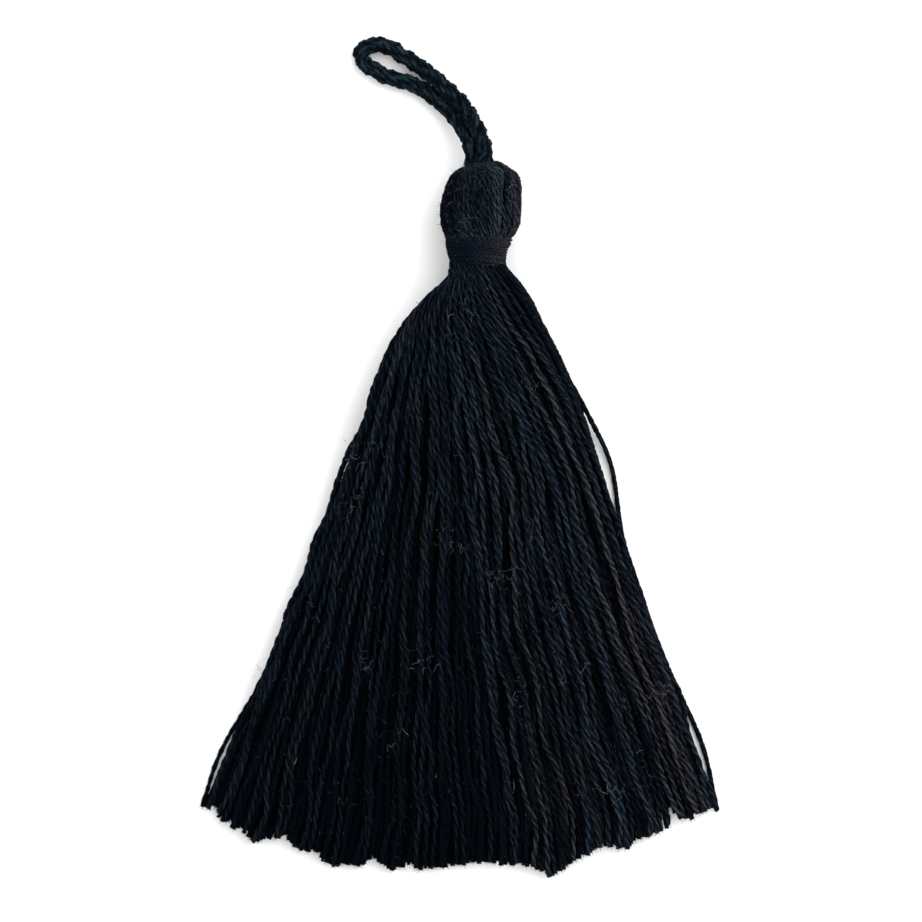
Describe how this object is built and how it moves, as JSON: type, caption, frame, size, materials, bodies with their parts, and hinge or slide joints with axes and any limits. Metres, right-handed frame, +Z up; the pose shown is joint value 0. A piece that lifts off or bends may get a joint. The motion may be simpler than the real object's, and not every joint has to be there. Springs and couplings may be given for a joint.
{
  "type": "tassel",
  "caption": "Black cotton tassel with a tied round head, a bound neck, a fanned skirt of plied yarn and a twisted hanging loop, lying on its back.",
  "frame": {"origin": "middle of the small flat under the head, on the surface that the tassel lies on", "axes": "+Y from the skirt towards the hanging loop, +Z up, +X across the fan"},
  "size_m": [0.0632, 0.1004, 0.0095],
  "materials": {
    "cotton_yarn": "matt black plied cotton",
    "binding_thread": "matt black fine thread"
  },
  "bodies": {
    "root": {"yarn_hank": "cotton_yarn", "neck_binding": "binding_thread", "hanging_loop": "cotton_yarn"}
  },
  "joints": []
}
